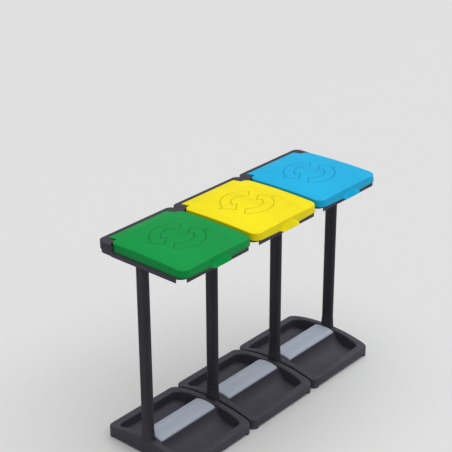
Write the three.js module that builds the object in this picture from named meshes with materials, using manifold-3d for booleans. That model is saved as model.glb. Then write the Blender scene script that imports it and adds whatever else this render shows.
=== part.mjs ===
// A recycling bin station: three liner stands in one row, sharing four posts.
//
// Millimetres, +Z up. +X runs along the row from the left stand to the right stand, and -Y is the front.
// The origin is on the floor, under the middle of the whole object. Inside the row, y = 0 is the plane of
// the posts, and each stand is drawn about x = 0 and then moved along the row.

import * as THREE from "three";
import { mergeVertices } from "three/addons/utils/BufferGeometryUtils.js";
import Module from "manifold-3d";

const wasm = await Module();
wasm.setup();

// ---------------------------------------------------------------- driving dimensions

const PITCH = 390; // one stand to the next along the row
const GAP = 0.3; // clearance between pieces that meet
const STANDS = { left: -PITCH, middle: 0, right: PITCH };

const TRAY = {
  width: 382,
  depth: 420,
  corner: 28,
  wallFoot: 10, // the wall ends this far above the floor, between the corner feet
  rim: 45, // height of the front and rear rims
  crest: 70, // height of the side rims at the posts
  skin: 4,
  floor: 8, // top of the basin floor
  mouthHalfWidth: 163,
  mouthHalfDepth: 176,
  floorHalfWidth: 150,
  floorHalfDepth: 170,
  mouthCorner: 24,
  edge: 5, // chamfer on the outer top edge
};
const HUMP = { halfDepth: 50, top: 62, centre: 70, reach: 135 };
const BAR = { halfLength: 155, halfDepth: 49.5, edge: 68, crest: 77, skin: 3, corner: 8 };

const POST = { radius: 16, halfFlat: 10, wall: 3, foot: 40, top: 797.7, endInset: 21 };
const SOCKET = {
  top: 112,
  flareTop: 80,
  wall: 2.5,
  seat: 35,
  blockTop: 70.3,
  halfDepth: 30,
  innerReach: 22.5,
  endInner: 19,
};
const HEAD = { plug: 38, earTop: 816.7, halfDepth: 22, slot: 4 };
const SCREW = { radius: 2, headRadius: 3.3, headHeight: 2.4, length: 18, hole: 2.3 };

const FRAME = {
  halfWidth: 194.6,
  halfDepth: 208.5,
  frontCorner: 36,
  rearCorner: 28,
  bottom: 801.5,
  plate: 817,
  plateTop: 821,
  wall: 3,
  skirtFrontEnd: 181, // the side skirts stop here, and the front skirt at skirtHalf
  skirtHalf: 164.5,
  top: 847,
  railDepth: 14,
  blockInner: 156,
  blockFront: 128,
  notchFront: 152,
  blockSolid: 178,
  mouthHalfWidth: 150,
  mouthFront: 168,
  mouthRear: 130,
  mouthCorner: 40,
  collarBottom: 808,
  collarTop: 828,
};
const RING = { clearance: 1.5, width: 10, bottom: 821.3, top: 831.5 };

const LID = {
  halfWidth: 189.5,
  front: 219,
  frontBow: 4, // the front edge bows forward by this much in its middle
  frontCorner: 46,
  bottom: 822,
  crown: 863,
  sideFall: 8,
  endFall: 6,
  crownCentre: -10,
  crownReach: 195,
  lean: 2.5,
  skin: 3,
  shoulderX: 160,
  shoulderY: 126,
  shoulderDepth: 23,
  tongueHalf: 153,
};
const LIP = { halfWidth: 60, reach: 228, bottom: 816, top: 848 };
const HINGE = { y: 187, z: 841.5, barrel: 6.5, pin: 3, pinInner: 136, pinOuter: 175 };

// The box of the whole object runs from the lids' lips to the trays' rear walls: this centres it.
const CENTRE_SHIFT = (LIP.reach - TRAY.depth / 2) / 2;

// ---------------------------------------------------------------- materials

function plastic(color, roughness) {
  return new THREE.MeshStandardMaterial({ color, roughness, metalness: 0 });
}

const LOOKS = {
  tray: () => plastic(0x45444e, 0.6),
  bar: () => plastic(0xb9c2d2, 0.5),
  post: () => plastic(0x2f2d35, 0.55),
  frame: () => plastic(0x3c3842, 0.55),
  ring: () => plastic(0x33313a, 0.6),
  green: () => plastic(0x009045, 0.4),
  yellow: () => plastic(0xf7e512, 0.4),
  blue: () => plastic(0x24b3ea, 0.4),
  steel: () => new THREE.MeshStandardMaterial({ color: 0xb8bbc0, roughness: 0.35, metalness: 0.9 }),
};

// ---------------------------------------------------------------- solids

// A manifold-3d solid of a closed three.js geometry.
function solid(geometry) {
  const bare = geometry.index ? geometry.toNonIndexed() : geometry.clone();
  bare.deleteAttribute("normal");
  bare.deleteAttribute("uv");
  const merged = mergeVertices(bare, 1e-4);
  return new wasm.Manifold(
    new wasm.Mesh({
      numProp: 3,
      vertProperties: merged.attributes.position.array,
      triVerts: new Uint32Array(merged.index.array),
    }),
  );
}

function geometryOf(body) {
  const mesh = body.getMesh();
  const geometry = new THREE.BufferGeometry();
  geometry.setAttribute("position", new THREE.BufferAttribute(new Float32Array(mesh.vertProperties), 3));
  geometry.setIndex(new THREE.BufferAttribute(new Uint32Array(mesh.triVerts), 1));
  geometry.computeVertexNormals();
  return geometry;
}

function box(x0, x1, y0, y1, z0, z1) {
  const geometry = new THREE.BoxGeometry(x1 - x0, y1 - y0, z1 - z0);
  return solid(geometry.translate((x0 + x1) / 2, (y0 + y1) / 2, (z0 + z1) / 2));
}

// A shape drawn in x and y, standing from z0 to z1.
function prism(shape, z0, z1, curveSegments = 6) {
  const options = { depth: z1 - z0, bevelEnabled: false, curveSegments };
  return solid(new THREE.ExtrudeGeometry(shape, options).translate(0, 0, z0));
}

// A shape drawn in y and z, running along the row from x0 to x1.
function bar(shape, x0, x1, curveSegments = 12) {
  const options = { depth: x1 - x0, bevelEnabled: false, curveSegments };
  const turn = new THREE.Matrix4().makeBasis(
    new THREE.Vector3(0, 1, 0),
    new THREE.Vector3(0, 0, 1),
    new THREE.Vector3(1, 0, 0),
  );
  return solid(new THREE.ExtrudeGeometry(shape, options).applyMatrix4(turn).translate(x0, 0, 0));
}

function cylinder(radius, x0, x1, y, z, sides = 20) {
  const geometry = new THREE.CylinderGeometry(radius, radius, x1 - x0, sides);
  return solid(geometry.rotateZ(Math.PI / 2).translate((x0 + x1) / 2, y, z));
}

function roundedRect(x0, x1, y0, y1, frontCorner, rearCorner = frontCorner) {
  const shape = new THREE.Shape();
  shape.moveTo(x0 + frontCorner, y0);
  shape.lineTo(x1 - frontCorner, y0);
  shape.absarc(x1 - frontCorner, y0 + frontCorner, frontCorner, -Math.PI / 2, 0);
  shape.lineTo(x1, y1 - rearCorner);
  shape.absarc(x1 - rearCorner, y1 - rearCorner, rearCorner, 0, Math.PI / 2);
  shape.lineTo(x0 + rearCorner, y1);
  shape.absarc(x0 + rearCorner, y1 - rearCorner, rearCorner, Math.PI / 2, Math.PI);
  shape.lineTo(x0, y0 + frontCorner);
  shape.absarc(x0 + frontCorner, y0 + frontCorner, frontCorner, Math.PI, 1.5 * Math.PI);
  return shape;
}

function centredRect(halfX, halfY, corner) {
  return roundedRect(-halfX, halfX, -halfY, halfY, corner);
}

// The flat-oval outline of a post, grown by the given amount.
function ovalShape(x, grow) {
  const radius = POST.radius + grow;
  const shape = new THREE.Shape();
  shape.moveTo(x + radius, -POST.halfFlat);
  shape.lineTo(x + radius, POST.halfFlat);
  shape.absarc(x, POST.halfFlat, radius, 0, Math.PI);
  shape.lineTo(x - radius, -POST.halfFlat);
  shape.absarc(x, -POST.halfFlat, radius, Math.PI, 2 * Math.PI);
  return shape;
}

// The points of a shape, as a ring at the height that heightAt gives. Each of its straight edges and arcs
// is divided alike, so that rings of similar shapes match point for point.
function ringOf(shape, divisions, heightAt) {
  const edges = shape.curves.filter((curve) => curve.getLength() > 0.001);
  const points = edges.flatMap((curve) => curve.getPoints(divisions).slice(1));
  return points.map((p) => new THREE.Vector3(p.x, p.y, heightAt(p.x, p.y)));
}

// A closed solid through rings of equally many points, from the lowest to the highest.
function loft(rings) {
  const count = rings[0].length;
  const middles = [rings[0], rings.at(-1)].map((ring) =>
    ring.reduce((sum, p) => sum.add(p), new THREE.Vector3()).divideScalar(count),
  );
  const points = [...rings.flat(), ...middles];
  const low = points.length - 2;
  const high = points.length - 1;
  const faces = [];
  for (let k = 0; k < rings.length - 1; k++) {
    for (let i = 0; i < count; i++) {
      const j = (i + 1) % count;
      const [a, b] = [k * count + i, k * count + j];
      faces.push(a, b, b + count, a, b + count, a + count);
    }
  }
  const last = (rings.length - 1) * count;
  for (let i = 0; i < count; i++) {
    const j = (i + 1) % count;
    faces.push(low, j, i, high, last + i, last + j);
  }
  const geometry = new THREE.BufferGeometry().setFromPoints(points);
  geometry.setIndex(faces);
  return solid(geometry);
}

function join(...bodies) {
  return bodies.reduce((sum, body) => sum.add(body));
}

// ---------------------------------------------------------------- tray

// The side rims arch from the height of the front and rear rims up to the crest at the posts.
function rimHeight(y) {
  const along = Math.min(1, Math.abs(y) / (TRAY.depth / 2 - 15));
  return TRAY.crest - (TRAY.crest - TRAY.rim) * along * along;
}

// The region under the rim's arch, lowered by drop, as a y-z outline.
function archShape(bottom, drop) {
  const half = TRAY.depth / 2 + 10;
  const steps = 10;
  const shape = new THREE.Shape();
  shape.moveTo(-half, bottom);
  shape.lineTo(half, bottom);
  for (let i = 0; i <= steps; i++) {
    const y = half - (2 * half * i) / steps;
    shape.lineTo(y, rimHeight(y) - drop);
  }
  return shape;
}

// The region over the basin floor, lowered by drop: flat basins and a hump whose flanks are parts of an
// ellipse, steep under the cross bar and level at the floor.
function aboveFloorShape(drop) {
  const { halfDepth, top, centre, reach } = HUMP;
  const half = TRAY.depth / 2 + 10;
  const run = reach - halfDepth + drop;
  const rise = centre - TRAY.floor + drop;
  const stop = Math.asin((centre - top + drop) / rise);
  const shape = new THREE.Shape();
  shape.moveTo(-half, TRAY.floor - drop);
  shape.lineTo(-reach, TRAY.floor - drop);
  shape.absellipse(-reach, centre, run, rise, -Math.PI / 2, -stop);
  shape.absellipse(reach, centre, run, rise, Math.PI + stop, 1.5 * Math.PI);
  shape.lineTo(half, TRAY.floor - drop);
  shape.lineTo(half, 2 * TRAY.crest);
  shape.lineTo(-half, 2 * TRAY.crest);
  return shape;
}

function trayOutline(inset) {
  return centredRect(TRAY.width / 2 - inset, TRAY.depth / 2 - inset, TRAY.corner - inset);
}

function floorOutline(grow) {
  return centredRect(TRAY.floorHalfWidth + grow, TRAY.floorHalfDepth + grow, TRAY.mouthCorner - 6 + grow);
}

// The tray before it is hollowed out. The basins' floor hangs a little lower than the walls' feet.
function trayBody() {
  const top = ringOf(trayOutline(TRAY.edge), 6, (x, y) => rimHeight(y));
  const inner = top.map((p) => new THREE.Vector3(p.x * 0.2, p.y * 0.2, rimHeight(p.y * 0.2)));
  const body = loft([
    ringOf(trayOutline(0), 6, () => TRAY.wallFoot),
    ringOf(trayOutline(0), 6, (x, y) => rimHeight(y) - TRAY.edge),
    top,
    inner,
  ]);
  return join(body, prism(floorOutline(TRAY.skin), TRAY.floor - TRAY.skin, TRAY.wallFoot + 1, 5));
}

// The room inside the rims and over the basin floor and the hump, grown by skin into the walls.
function pocket(skin) {
  const { mouthHalfWidth, mouthHalfDepth, mouthCorner } = TRAY;
  const mouth = centredRect(mouthHalfWidth + skin, mouthHalfDepth + skin, mouthCorner + skin);
  const inside = loft([
    ringOf(floorOutline(skin), 5, () => TRAY.floor - skin - 1),
    ringOf(mouth, 5, (x, y) => rimHeight(y)),
    ringOf(mouth, 5, () => 2 * TRAY.crest),
  ]);
  return inside.intersect(bar(aboveFloorShape(skin), -TRAY.width, TRAY.width, 6));
}

// The open space under the tray's skin. Walls and a floor are left round the rooms for the sockets.
function underside() {
  const { skin } = TRAY;
  const inside = prism(trayOutline(skin), -1, 2 * TRAY.crest, 4);
  const arched = inside.intersect(bar(archShape(-2, skin), -TRAY.width, TRAY.width));
  const depth = SOCKET.halfDepth + skin;
  const [x0, x1] = [TRAY.floorHalfWidth, TRAY.width / 2];
  const [z0, z1] = [SOCKET.seat - skin, 2 * TRAY.crest];
  const seats = join(box(-x1, -x0, -depth, depth, z0, z1), box(x0, x1, -depth, depth, z0, z1));
  return arched.subtract(pocket(skin)).subtract(seats);
}

// Four corner feet, cut from the tray's own outline.
function trayFeet() {
  const slab = prism(trayOutline(0.5), 0, TRAY.wallFoot + 1, 4);
  const [x0, y0] = [TRAY.width / 2 - 30, TRAY.depth / 2 - 30];
  const cross = join(box(-x0, x0, -400, 400, -1, 50), box(-400, 400, -y0, y0, -1, 50));
  return slab.subtract(cross);
}

// The room for a socket's block in a side rim. An end socket stands inside the outer wall.
function socketRoom(side, isEnd) {
  const outer = TRAY.width / 2 + 1;
  const centre = isEnd ? PITCH * 1.5 - POST.endInset - PITCH : PITCH / 2;
  const inner = isEnd ? centre - SOCKET.endInner : centre - SOCKET.innerReach;
  const [x0, x1] = side < 0 ? [-outer, -inner] : [inner, outer];
  return box(x0, x1, -SOCKET.halfDepth, SOCKET.halfDepth, SOCKET.seat, 2 * TRAY.crest);
}

function tray(name) {
  const rooms = join(socketRoom(-1, name === "left"), socketRoom(1, name === "right"));
  const shell = trayBody().subtract(pocket(0)).subtract(underside()).subtract(rooms);
  return join(shell, trayFeet());
}

// ---------------------------------------------------------------- cross bar

// A crowned cap that sits on the hump, hollow underneath.
function crossBar() {
  const { halfDepth, edge, crest, skin } = BAR;
  const rise = crest - edge;
  const radius = (halfDepth * halfDepth + rise * rise) / (2 * rise);
  const angle = Math.asin(halfDepth / radius);
  const centre = crest - radius;
  const base = HUMP.top + GAP;
  const section = new THREE.Shape();
  section.moveTo(-halfDepth, base);
  section.lineTo(-halfDepth + skin, base);
  section.lineTo(-halfDepth + skin, edge - skin);
  const innerAngle = Math.asin((halfDepth - skin) / radius);
  section.absarc(0, centre - skin, radius, Math.PI / 2 + innerAngle, Math.PI / 2 - innerAngle, true);
  section.lineTo(halfDepth - skin, base);
  section.lineTo(halfDepth, base);
  section.lineTo(halfDepth, edge);
  section.absarc(0, centre, radius, Math.PI / 2 - angle, Math.PI / 2 + angle);
  const cap = bar(section, -BAR.halfLength, BAR.halfLength, 10);
  const outline = centredRect(BAR.halfLength, halfDepth, BAR.corner);
  return cap.intersect(prism(outline, base - 1, crest + 1, 3));
}

// ---------------------------------------------------------------- posts, sockets and heads

function post() {
  const shape = ovalShape(0, 0);
  shape.holes.push(ovalShape(0, -POST.wall));
  return prism(shape, POST.foot + GAP, POST.top, 8);
}

// The block fills the room in the tray rims, the flare leads up to a sleeve round the post. A socket at a
// joint spans the rims of two trays and holds them together; an end socket stands in one rim.
function socket(x0, x1) {
  const half = SOCKET.halfDepth - GAP;
  const block = box(x0, x1, -half, half, SOCKET.seat + GAP, SOCKET.blockTop);
  const foot = roundedRect(x0, x1, -half, half, 12);
  const sleeve = ovalShape(0, SOCKET.wall);
  const flare = loft([
    ringOf(foot, 4, () => SOCKET.blockTop - 1),
    ringOf(roundedRect(-18.5, 18.5, -28.5, 28.5, 18.4), 4, () => SOCKET.flareTop),
  ]);
  const body = join(block, flare, prism(sleeve, SOCKET.flareTop - 0.5, SOCKET.top, 8));
  return body.subtract(prism(ovalShape(0, GAP), POST.foot, SOCKET.top + 1, 8));
}

function screwHoles(places) {
  return join(
    ...places.map(([x, y]) => {
      const circle = new THREE.Shape().absarc(x, y, SCREW.hole, 0, 2 * Math.PI);
      return prism(circle, HEAD.earTop - SCREW.length, FRAME.plateTop + 1, 3);
    }),
  );
}

// A plug in the post's top, a flange on it, and one or two ears that reach up to the frames' plates.
function postHead(ears, screws) {
  const plug = prism(ovalShape(0, -POST.wall - GAP), POST.top - HEAD.plug, POST.top + 1, 8);
  const flangeBottom = POST.top + GAP;
  const flangeTop = FRAME.bottom - GAP;
  const flange = prism(ovalShape(0, 0), flangeBottom, flangeTop, 8);
  const limit = prism(ovalShape(0, 0), flangeBottom, HEAD.earTop, 8);
  const blocks = ears.map(([x0, x1]) =>
    box(x0, x1, -HEAD.halfDepth, HEAD.halfDepth, flangeTop - 1, HEAD.earTop).intersect(limit),
  );
  return join(plug, flange, ...blocks).subtract(screwHoles(screws));
}

function screw() {
  const top = FRAME.plateTop + GAP;
  const foot = HEAD.earTop - SCREW.length + 2;
  const shape = [
    [0, foot],
    [SCREW.radius, foot + SCREW.radius],
    [SCREW.radius, top],
    [SCREW.headRadius, top],
    [SCREW.headRadius, top + SCREW.headHeight * 0.6],
    [SCREW.headRadius * 0.6, top + SCREW.headHeight],
    [0, top + SCREW.headHeight],
  ].map(([r, z]) => new THREE.Vector2(r, z));
  return solid(new THREE.LatheGeometry(shape, 14).rotateX(Math.PI / 2));
}

// ---------------------------------------------------------------- frame

function frameMouth(grow) {
  const { mouthHalfWidth, mouthFront, mouthRear, mouthCorner } = FRAME;
  return roundedRect(
    -mouthHalfWidth - grow,
    mouthHalfWidth + grow,
    -mouthFront - grow,
    mouthRear + grow,
    mouthCorner + grow,
  );
}

function framePlate() {
  const { halfWidth, halfDepth, frontCorner, rearCorner } = FRAME;
  const shape = roundedRect(-halfWidth, halfWidth, -halfDepth, halfDepth, frontCorner, rearCorner);
  shape.holes.push(frameMouth(0));
  return prism(shape, FRAME.plate, FRAME.plateTop, 5);
}

function frameCollar() {
  const shape = frameMouth(FRAME.wall);
  shape.holes.push(frameMouth(0));
  return prism(shape, FRAME.collarBottom, FRAME.collarTop, 5);
}

// The outline of a right rear corner block. Its front curves round the lid's shoulder.
function blockShape(inset) {
  const { halfWidth, halfDepth, rearCorner, blockInner, blockFront, notchFront } = FRAME;
  const [right, rear] = [halfWidth - inset, halfDepth - inset];
  const shape = new THREE.Shape();
  shape.moveTo(blockInner, notchFront);
  shape.quadraticCurveTo(right, notchFront, right, blockFront);
  shape.lineTo(right, rear - rearCorner);
  shape.absarc(right - rearCorner, rear - rearCorner, rearCorner, 0, Math.PI / 2);
  shape.lineTo(blockInner, rear);
  return shape;
}

// A rear corner block, set in a little below the plate.
function cornerBlock(side) {
  const upper = prism(blockShape(0), FRAME.plate, FRAME.top, 5);
  const body = join(upper, prism(blockShape(FRAME.wall), FRAME.bottom, FRAME.plate + 1, 5));
  return side > 0 ? body : body.mirror([1, 0, 0]);
}

// The raised rear rail between the corner blocks, its inner top edge chamfered so that the open lid can
// lean back over it.
function rearRail() {
  const { halfDepth, railDepth, top, bottom, wall, plate, blockInner } = FRAME;
  const inner = halfDepth - railDepth;
  const profile = new THREE.Shape();
  profile.moveTo(inner, plate);
  profile.lineTo(halfDepth - wall, plate);
  profile.lineTo(halfDepth - wall, bottom);
  profile.lineTo(halfDepth, bottom);
  profile.lineTo(halfDepth, top - 3);
  profile.lineTo(halfDepth - 3, top);
  profile.lineTo(inner + 7, top);
  profile.lineTo(inner, top - 7);
  return bar(profile, -blockInner - 1, blockInner + 1);
}

// The rail and the outer parts of the corner blocks are open from below. The blocks stay solid round the
// hinge pins.
function frameHollows() {
  const { halfWidth, halfDepth, railDepth, top, bottom, wall, blockInner, blockSolid } = FRAME;
  const inner = halfDepth - railDepth + wall;
  const rail = new THREE.Shape();
  rail.moveTo(inner, bottom - 1);
  rail.lineTo(halfDepth - wall, bottom - 1);
  rail.lineTo(halfDepth - wall, top - wall - 1);
  rail.lineTo(inner + 5, top - wall - 1);
  rail.lineTo(inner, top - wall - 6);
  const [x0, x1] = [blockSolid, halfWidth - 2 * wall];
  const [y0, y1] = [FRAME.notchFront + wall, halfDepth - FRAME.rearCorner];
  const block = box(x0, x1, y0, y1, bottom - 1, top - wall);
  return join(bar(rail, -blockInner + wall, blockInner - wall), block, block.mirror([1, 0, 0]));
}

function skirts() {
  const { halfWidth, halfDepth, wall, bottom, plateTop, skirtFrontEnd, blockFront, skirtHalf } = FRAME;
  const front = box(-skirtHalf, skirtHalf, -halfDepth, -halfDepth + wall, bottom, plateTop);
  const sides = [-1, 1].map((side) => {
    const [x0, x1] = side < 0 ? [-halfWidth, -halfWidth + wall] : [halfWidth - wall, halfWidth];
    return box(x0, x1, -skirtFrontEnd, blockFront + 1, bottom, plateTop);
  });
  return join(front, ...sides);
}

function pinHoles() {
  const { y, z, pin, pinOuter } = HINGE;
  return cylinder(pin + GAP, -pinOuter - GAP, pinOuter + GAP, y, z, 16);
}

function frame(screws) {
  const whole = join(framePlate(), frameCollar(), rearRail(), skirts(), cornerBlock(-1), cornerBlock(1));
  return whole.subtract(frameHollows()).subtract(pinHoles()).subtract(screwHoles(screws));
}

function bagRing() {
  const inner = FRAME.wall + RING.clearance;
  const shape = frameMouth(inner + RING.width);
  shape.holes.push(frameMouth(inner));
  return prism(shape, RING.bottom, RING.top, 5);
}

// ---------------------------------------------------------------- lid

// The height of the lid's outer surface, which eases down to the hinge barrel at the rear.
function crownHeight(x, y) {
  const across = x / (LID.halfWidth - 5);
  const along = (y - LID.crownCentre) / LID.crownReach;
  const height = LID.crown - LID.sideFall * across * across - LID.endFall * along * along;
  const easeFrom = LID.shoulderY;
  const ease = Math.max(0, (y - easeFrom) / (HINGE.y - easeFrom));
  return height + (HINGE.z + HINGE.barrel - height) * ease * ease;
}

// The lid's outline: rounded shoulders round the corner blocks, and a tongue between them to the hinge.
function lidOutline(inset) {
  const { shoulderX, shoulderY, shoulderDepth, tongueHalf, frontBow: bow } = LID;
  const [w, f, r] = [LID.halfWidth - inset, LID.front - inset, LID.frontCorner - inset];
  const [sx, t] = [shoulderX - inset, tongueHalf - inset];
  const notch = shoulderY + shoulderDepth - inset;
  const shape = new THREE.Shape();
  shape.moveTo(-w + r, -f + bow);
  shape.quadraticCurveTo(0, -f - bow, w - r, -f + bow);
  shape.absarc(w - r, -f + bow + r, r, -Math.PI / 2, 0);
  shape.lineTo(w, shoulderY);
  shape.quadraticCurveTo(w, notch, sx, notch);
  shape.lineTo(t, notch);
  shape.lineTo(t, HINGE.y - inset / 2);
  shape.lineTo(-t, HINGE.y - inset / 2);
  shape.lineTo(-t, notch);
  shape.lineTo(-sx, notch);
  shape.quadraticCurveTo(-w, notch, -w, shoulderY);
  shape.lineTo(-w, -f + bow + r);
  shape.absarc(-w + r, -f + bow + r, r, Math.PI, 1.5 * Math.PI);
  return shape;
}

// The lid's shell in one pass: from the middle of the underside out to the walls, down their inner faces,
// up their outer faces and over the crown to its middle.
function lidShell() {
  const { skin, lean, bottom, crownCentre, shoulderY, shoulderDepth } = LID;
  const ring = (inset, heightAt) => ringOf(lidOutline(inset), 4, heightAt);
  const rear = shoulderY + shoulderDepth;
  const hem = (x, y) => (y > rear - 1 ? HINGE.z - HINGE.barrel : bottom);
  const crown = (share, drop) =>
    ring(lean + 3, () => 0).map((p) => {
      const [x, y] = [p.x * share, crownCentre + (p.y - crownCentre) * share];
      return new THREE.Vector3(x, y, crownHeight(x, y) - drop);
    });
  return loft([
    crown(0.4, skin),
    crown(0.75, skin),
    ring(lean + skin, (x, y) => crownHeight(x, y) - skin - 2),
    ring(skin, hem),
    ring(0, hem),
    ring(lean, (x, y) => crownHeight(x, y) - 4),
    crown(1, 0.6),
    crown(0.75, 0),
    crown(0.4, 0),
  ]);
}

function barrel() {
  const { y, z, barrel: radius } = HINGE;
  return cylinder(radius, -LID.tongueHalf, LID.tongueHalf, y, z, 24);
}

// The outline of the thumb lip at one height: a shallow arc in front of the lid's front wall.
function lipOutline(half, reach) {
  const [root, back] = [LID.front - LID.skin, LID.front - LID.skin - 6];
  const shape = new THREE.Shape();
  shape.moveTo(-half, -root);
  shape.quadraticCurveTo(0, root - 2 * reach, half, -root);
  shape.lineTo(half, -back);
  shape.lineTo(-half, -back);
  shape.lineTo(-half, -root);
  return shape;
}

// The thumb lip: widest and furthest forward at its lower edge, and fading into the front wall above.
function lip() {
  const { halfWidth, reach, bottom, top } = LIP;
  const ring = (half, front, z) => ringOf(lipOutline(half, front), 8, () => z);
  return loft([
    ring(halfWidth - 3, reach - 0.5, bottom),
    ring(halfWidth, reach, bottom + 1.5),
    ring(halfWidth * 0.8, reach - 4, bottom + (top - bottom) * 0.5),
    ring(halfWidth * 0.4, LID.front - 0.5, top),
  ]);
}

function lid() {
  const { halfWidth, bottom, top } = LIP;
  const inside = box(-halfWidth, halfWidth, -LID.front + LID.skin, 0, bottom - 1, top + 1);
  return join(lidShell(), lip().subtract(inside), barrel()).subtract(pinHoles());
}

// ---------------------------------------------------------------- assembly

const station = new THREE.Group();
const row = new THREE.Group();
row.position.y = CENTRE_SHIFT;
station.add(row);

function place(parent, name, body, look, x = 0, y = 0) {
  const mesh = new THREE.Mesh(geometryOf(body), LOOKS[look]());
  mesh.name = name;
  mesh.position.set(x, y, 0);
  parent.add(mesh);
}

// The screws of the post heads, as [x, y] from each post's own centre.
const JOINT_SCREWS = [
  [-12.5, 0],
  [12.5, 0],
];
const END_SCREWS = [
  [0, -14],
  [0, 14],
];

const END_X = PITCH * 1.5 - POST.endInset;
const POSTS = {
  left_end: { x: -END_X, screws: END_SCREWS },
  left_joint: { x: -PITCH / 2, screws: JOINT_SCREWS },
  right_joint: { x: PITCH / 2, screws: JOINT_SCREWS },
  right_end: { x: END_X, screws: END_SCREWS },
};

// Screw places on one frame, in that stand's own coordinates.
function frameScrews(standX) {
  const places = Object.values(POSTS).flatMap((p) => p.screws.map(([x, y]) => [p.x + x - standX, y]));
  return places.filter(([x]) => Math.abs(x) < FRAME.halfWidth);
}

const LID_LOOKS = { left: "green", middle: "yellow", right: "blue" };

for (const [name, x] of Object.entries(STANDS)) {
  const stand = new THREE.Group();
  stand.position.x = x;
  row.add(stand);
  place(stand, `tray_${name}`, tray(name), "tray");
  place(stand, `cross_bar_${name}`, crossBar(), "bar");
  place(stand, `frame_${name}`, frame(frameScrews(x)), "frame");
  place(stand, `bag_ring_${name}`, bagRing(), "ring");
  place(stand, `lid_${name}`, lid(), LID_LOOKS[name]);
  const { pin, pinInner, pinOuter, y, z } = HINGE;
  place(stand, `hinge_pin_${name}_1`, cylinder(pin, -pinOuter, -pinInner, y, z, 16), "steel");
  place(stand, `hinge_pin_${name}_2`, cylinder(pin, pinInner, pinOuter, y, z, 16), "steel");
}

for (const [name, { x, screws }] of Object.entries(POSTS)) {
  const isEnd = name.endsWith("end");
  const side = Math.sign(x);
  const reach = isEnd ? SOCKET.endInner - GAP : SOCKET.innerReach - GAP;
  const outer = isEnd ? SOCKET.endInner + GAP : reach;
  const [x0, x1] = side < 0 ? [-outer, reach] : [-reach, outer];
  const ears = isEnd
    ? [[-POST.radius, POST.radius]]
    : [
        [-POST.radius, -HEAD.slot],
        [HEAD.slot, POST.radius],
      ];
  place(row, `post_${name}`, post(), "post", x);
  place(row, `socket_${name}`, socket(x0, x1), "post", x);
  place(row, `post_head_${name}`, postHead(ears, screws), "post", x);
  screws.forEach(([dx, dy], i) => place(row, `screw_${name}_${i + 1}`, screw(), "steel", x + dx, dy));
}

export default station;
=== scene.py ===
import math

import bpy
import numpy as np
from mathutils import Matrix, Vector


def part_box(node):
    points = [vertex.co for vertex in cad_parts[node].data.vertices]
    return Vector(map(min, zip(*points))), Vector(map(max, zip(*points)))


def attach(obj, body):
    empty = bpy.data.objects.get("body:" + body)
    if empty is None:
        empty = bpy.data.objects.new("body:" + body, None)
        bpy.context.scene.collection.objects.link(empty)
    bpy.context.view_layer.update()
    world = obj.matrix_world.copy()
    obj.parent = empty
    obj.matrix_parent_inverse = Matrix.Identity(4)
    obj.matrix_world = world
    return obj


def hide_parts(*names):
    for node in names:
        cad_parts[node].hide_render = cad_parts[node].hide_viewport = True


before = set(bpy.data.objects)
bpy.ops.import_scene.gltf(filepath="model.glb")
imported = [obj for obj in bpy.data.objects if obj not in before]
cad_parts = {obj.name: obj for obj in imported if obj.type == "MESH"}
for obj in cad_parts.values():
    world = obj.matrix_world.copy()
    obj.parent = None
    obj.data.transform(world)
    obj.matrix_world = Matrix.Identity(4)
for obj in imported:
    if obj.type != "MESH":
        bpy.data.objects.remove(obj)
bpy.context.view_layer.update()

# A recycling bin station: three liner stands in one row. Pieces are drawn in millimetres about one stand
# or one post, with x = 0 in its middle, y = 0 in the plane of the posts and z = 0 on the floor, and then
# placed in metres where the frame's own nodes are.

MM = 0.001
STANDS = ("left", "middle", "right")
POSTS = ("left_end", "left_joint", "right_joint", "right_end")


# ---------------------------------------------------------------- places

def middle(node):
    low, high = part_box(node)
    return (low + high) / 2


POST_PLANE = middle("post_left_joint").y
STAND_X = {name: middle(f"tray_{name}").x for name in STANDS}
POST_X = {name: middle(f"post_{name}").x for name in POSTS}


def stand_place(name):
    return Vector((STAND_X[name], POST_PLANE, 0))


# ---------------------------------------------------------------- mesh tools

CREASE = math.radians(32)


def add_object(name, points, faces, place, body, material, slot):
    mesh = bpy.data.meshes.new(name)
    mesh.from_pydata((np.asarray(points) * MM).tolist(), [], faces)
    mesh.shade_smooth()
    mesh.set_sharp_from_angle(angle=CREASE)
    mesh.materials.append(material)
    return add_mesh(name, mesh, place, body)


def add_mesh(name, mesh, place, body):
    obj = bpy.data.objects.new(name, mesh)
    bpy.context.scene.collection.objects.link(obj)
    obj.location = place
    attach(obj, body)
    return obj


def smooth(t):
    """An even step from 0 to 1, level at both ends."""
    t = np.clip(t, 0, 1)
    return t * t * (3 - 2 * t)


def between(low, high, share):
    return low + (high - low) * share


def arc(x, y, radius, start, end, steps):
    """Points on an arc in plan, by angles in degrees."""
    angles = np.radians(np.linspace(start, end, steps + 1))
    return np.column_stack([x + radius * np.cos(angles), y + radius * np.sin(angles)])


def ring_of(side, shares):
    """A closed ring in plan, counter-clockwise from its front left, out of its right side from front to
    rear. The front and the rear are straight, and are divided by shares from left to right."""
    across = 2 * np.asarray(shares) - 1
    front = np.column_stack([across * side[0, 0], np.full(len(across), side[0, 1])])
    rear = np.column_stack([-across * side[-1, 0], np.full(len(across), side[-1, 1])])
    left = side[::-1] * [-1, 1]
    return np.vstack([front, side[1:-1], rear, left[1:-1]])


def sheet_index(columns, rows):
    """For each row and column of a sheet, the place in a ring of the points on its edge."""
    index = np.full((rows + 1, columns + 1), -1)
    index[0] = np.arange(columns + 1)
    index[1:, columns] = columns + np.arange(1, rows + 1)
    index[rows, columns - 1 :: -1] = columns + rows + np.arange(1, columns + 1)
    index[rows - 1 : 0 : -1, 0] = 2 * columns + rows + np.arange(1, rows)
    return index


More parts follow.
